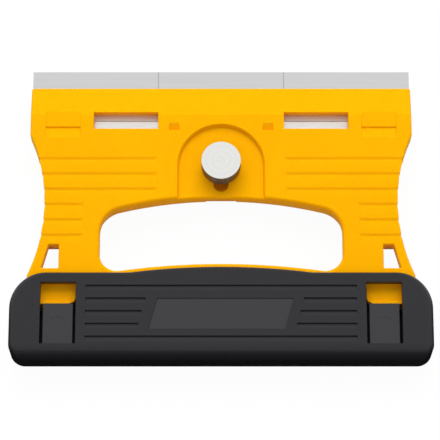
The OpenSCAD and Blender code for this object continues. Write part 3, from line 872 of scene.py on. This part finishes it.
class SCRAPER_OT_finishes(bpy.types.Operator):
    """Materials of all pieces"""

    bl_idname = "scraper.finishes"
    bl_label = "Finishes"

    def execute(self, context):
        colours = settings().colours
        # Pits, streaks and turning rings are drawn coarser than they are, to survive at the photo's scale

        # Saturated yellow with hardly any gloss, as the fine grain of the mould leaves it
        moulded_plastic("moulded yellow ABS", colours.shell,
                        pit_mm=0.5, pit_depth_mm=0.004, rough=0.5, specular=0.04, scatter=0.4)
        # Soft black that goes almost to nothing where it turns from the light
        moulded_plastic("moulded black polypropylene", colours.cover,
                        pit_mm=0.4, pit_depth_mm=0.012, rough=0.42, specular=0.35, scatter=0.0)
        # The same black a little smoother, and painted a little lighter: painted light on the panel and
        # tongues
        moulded_plastic("polished black polypropylene with painted light", colours.panel,
                        pit_mm=0.8, pit_depth_mm=0.004, rough=0.35, specular=0.5, scatter=0.0)
        # Even grey with fine grinding streaks along the edge
        worked_metal("ground blade steel", colours.steel, long_mm=30, narrow_mm=0.25, rough=0.45)
        # Duller grey in the scored lines
        worked_metal("scored blade steel", colours.scored, long_mm=2, narrow_mm=0.3, rough=0.5)
        # Bright, slightly warm plating with rolling streaks
        worked_metal("zinc-plated steel", colours.plating, long_mm=6, narrow_mm=0.6, rough=0.3)
        # Dull grey-black of a stamped ring
        worked_metal("blackened spring steel", colours.spring, long_mm=2, narrow_mm=0.5, rough=0.4)
        # Near white with turning rings
        turned_aluminium("turned aluminium", colours.aluminium, knob_middle, ring_mm=2.2, rough=0.3)
        # Darker than the face: painted shade for the knurl's grooves and the knob's shaded side
        worked_metal("knurled aluminium with painted shade", colours.knurl, long_mm=2, narrow_mm=0.5, rough=0.45)
        white_floor("white studio card", glow_share=0.92)
        black_cloth("black studio cloth", linear("#101010"))
        return {"FINISHED"}


class SCRAPER_OT_stage(bpy.types.Operator):
    """White floor, dark cloth, softbox, room light and the photo's camera"""

    bl_idname = "scraper.stage"
    bl_label = "Photo stage"

    def execute(self, context):
        stage = settings().stage
        aim = Vector(stage.aim)
        scene = context.scene
        floor_size = 8
        floor_z = cad_low.z - 0.2 * MM
        bpy.ops.object.select_all(action="DESELECT")
        bpy.ops.mesh.primitive_plane_add(size=floor_size, location=(0, 0, floor_z))
        floor = context.object
        floor.name = "floor"
        floor.data.materials.append(bpy.data.materials["white studio card"])

        # A dark cloth under the cover and hung before it, seen only in gloss, keeps its low edges black
        cloth_half = 0.6
        cloth_before = 0.07
        cloth_height = 0.06
        cloth = new_block(
            Vector((-cloth_half, cover_low.y - cloth_before, (floor_z + cad_low.z) / 2)),
            Vector((cloth_half, cover_high.y, cad_low.z + cloth_height)))
        cloth.name = "cloth"
        cloth.data.materials.append(bpy.data.materials["black studio cloth"])
        edit(cloth)
        select_faces(cloth, lambda middle, normal: normal.z > -0.5 and normal.y > -0.5)
        bpy.ops.mesh.delete(type="FACE")
        leave_edit()
        cloth.visible_camera = False
        cloth.visible_diffuse = False
        cloth.visible_transmission = False
        cloth.visible_shadow = False

        back = Vector((0, -math.sin(stage.tilt), math.cos(stage.tilt)))
        camera = bpy.data.objects.new("camera", bpy.data.cameras.new("camera"))
        scene.collection.objects.link(camera)
        camera.data.lens = stage.lens
        camera.data.sensor_width = 36
        camera.data.clip_start = 0.01
        camera.location = aim + back * stage.distance
        camera.rotation_euler = back.to_track_quat("Z", "Y").to_euler()
        scene.camera = camera

        softbox_size = (1.0, 0.8)
        lamp = bpy.data.lights.new("softbox", "AREA")
        lamp.shape = "RECTANGLE"
        lamp.size, lamp.size_y = softbox_size
        lamp.energy = stage.softbox_power
        softbox = bpy.data.objects.new("softbox", lamp)
        scene.collection.objects.link(softbox)
        towards = Vector((0, math.cos(stage.softbox_height), math.sin(stage.softbox_height)))
        softbox.location = aim + towards
        softbox.rotation_euler = towards.to_track_quat("Z", "Y").to_euler()
        # Metal shows the even white room instead of the softbox
        softbox.visible_glossy = False

        world = bpy.data.worlds.new("white room")
        world.use_nodes = True
        tree = world.node_tree
        level = add(tree, "ShaderNodeMapRange", {
            "Value": background_rays(tree), "To Min": stage.fill, "To Max": 1.0})
        sky = tree.nodes["Background"]
        sky.inputs["Color"].default_value = (1.0, 1.0, 1.0, 1.0)
        tree.links.new(level.outputs["Result"], sky.inputs["Strength"])
        scene.world = world
        scene.view_settings.view_transform = "Standard"
        return {"FINISHED"}


OPERATORS = (
    SCRAPER_OT_finishes, SCRAPER_OT_stage, SCRAPER_OT_front_shell, SCRAPER_OT_rear_shell,
    SCRAPER_OT_shell_screws, SCRAPER_OT_blade, SCRAPER_OT_carriage, SCRAPER_OT_knob,
    SCRAPER_OT_stud, SCRAPER_OT_washer, SCRAPER_OT_cover,
)


class SCRAPER_PT_panel(bpy.types.Panel):
    """Settings and buttons of the scraper"""

    bl_idname = "SCRAPER_PT_panel"
    bl_label = "Window scraper"
    bl_space_type = "VIEW_3D"
    bl_region_type = "UI"
    bl_category = "Scraper"

    def draw(self, context):
        whole = settings()
        for group in (whole.colours, whole.edges, whole.knob, whole.blade, whole.stage):
            box = self.layout.box()
            for name in group.bl_rna.properties.keys():
                if name not in ("rna_type", "name"):
                    box.prop(group, name)
        for operator in OPERATORS:
            self.layout.operator(operator.bl_idname)


CLASSES = (
    ScraperColours, ScraperEdges, ScraperKnob, ScraperBlade, ScraperStage, ScraperSettings,
    *OPERATORS, SCRAPER_PT_panel,
)


def register():
    """Registers the classes and the scene's settings."""
    for cls in CLASSES:
        bpy.utils.register_class(cls)
    bpy.types.Scene.scraper = bpy.props.PointerProperty(
        type=ScraperSettings, name="Scraper", description="Settings of the window scraper")


def unregister():
    """Takes the settings and the classes out again."""
    del bpy.types.Scene.scraper
    for cls in reversed(CLASSES):
        bpy.utils.unregister_class(cls)


def main():
    """Registers the settings and makes the stage and every piece."""
    register()
    for operator in OPERATORS:
        group, name = operator.bl_idname.split(".")
        getattr(getattr(bpy.ops, group), name)()


if __name__ == "__main__":
    main()
